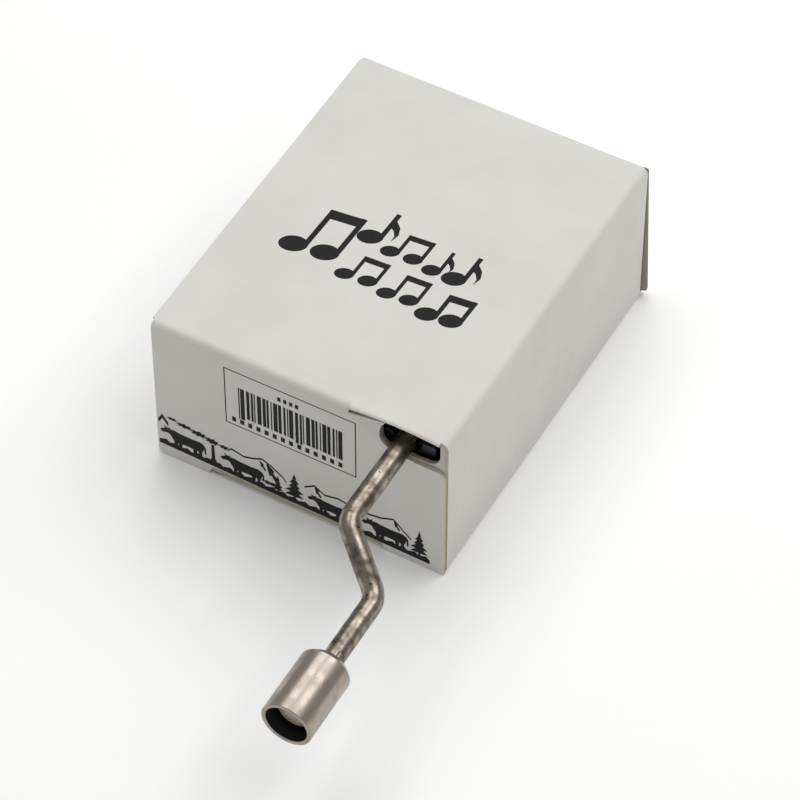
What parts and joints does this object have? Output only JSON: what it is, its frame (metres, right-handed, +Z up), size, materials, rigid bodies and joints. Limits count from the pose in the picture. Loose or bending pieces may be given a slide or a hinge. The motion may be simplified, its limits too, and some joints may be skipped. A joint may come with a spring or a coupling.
{
  "type": "cylinder music box",
  "caption": "Small hand-cranked music movement in a white folded card carton, with a bent wire crank and a turned metal knob coming out of a slot in one short end.",
  "frame": {"origin": "centre of the carton's underside", "axes": "+X to the right seen from the crank end, +Y away from the crank end, +Z up"},
  "size_m": [0.0438, 0.0895, 0.0235],
  "materials": {
    "card": "matt, coated white outside",
    "glue": "dried glue film",
    "nickel": "nickel plated, lightly worn",
    "zinc": "die cast, dull",
    "brass": "satin",
    "steel": "bright",
    "lead": "dull",
    "black_plastic": "moulded"
  },
  "bodies": {
    "carton": {"carton_sleeve": "card", "front_flap": "card", "front_tuck_tab": "card", "front_dust_flap_right": "card", "front_dust_flap_left": "card", "back_dust_flap_right": "card", "back_dust_flap_left": "card", "seam_glue": "glue", "bedplate": "zinc", "comb_clamp_bar": "brass", "comb": "steel", "comb_screw_left": "steel", "comb_screw_right": "steel", "bush_saddle_front": "steel", "bush_saddle_rear": "steel", "saddle_screw_front_left": "steel", "saddle_screw_front_right": "steel", "saddle_screw_rear_left": "steel", "saddle_screw_rear_right": "steel", "comb_weight_1": "lead", "comb_weight_2": "lead", "comb_weight_3": "lead", "comb_weight_4": "lead", "comb_weight_5": "lead", "comb_weight_6": "lead", "shaft_bush_front": "black_plastic", "shaft_bush_rear": "black_plastic"},
    "back_flap": {"back_flap": "card"},
    "back_tab": {"back_tuck_tab": "card"},
    "crank": {"crank_wire": "nickel", "worm": "brass", "thrust_collar": "steel"},
    "knob": {"knob": "nickel"},
    "cylinder": {"cylinder": "brass", "cylinder_disc_left": "steel", "cylinder_disc_right": "steel", "arbor": "steel", "worm_wheel": "brass"}
  },
  "joints": [
    {"name": "crank_turn", "type": "hinge", "parent": "carton", "child": "crank", "pos_m": [0.01405, 0, 0.02038], "axis": [0, 1, 0], "continuous": true},
    {"name": "cylinder_turn", "type": "hinge", "parent": "carton", "child": "cylinder", "pos_m": [0, -0.01426, 0.01154], "axis": [1, 0, 0], "continuous": true},
    {"name": "knob_spin", "type": "hinge", "parent": "crank", "child": "knob", "pos_m": [0.0206, -0.0588, 0.01588], "axis": [0, 1, 0], "continuous": true},
    {"name": "back_flap_open", "type": "hinge", "parent": "carton", "child": "back_flap", "pos_m": [0, 0.0255, 0.02325], "axis": [1, 0, 0], "range_deg": [0, 75]},
    {"name": "back_tab_fold", "type": "hinge", "parent": "back_flap", "child": "back_tab", "pos_m": [0, 0.0255, 0.00125], "axis": [1, 0, 0], "range_deg": [-42, 0]}
  ],
  "couplings": [
    {"joint": "cylinder_turn", "follows": "crank_turn", "ratio": 0.041667},
    {"joint": "back_tab_fold", "follows": "back_flap_open", "ratio": -0.55}
  ]
}
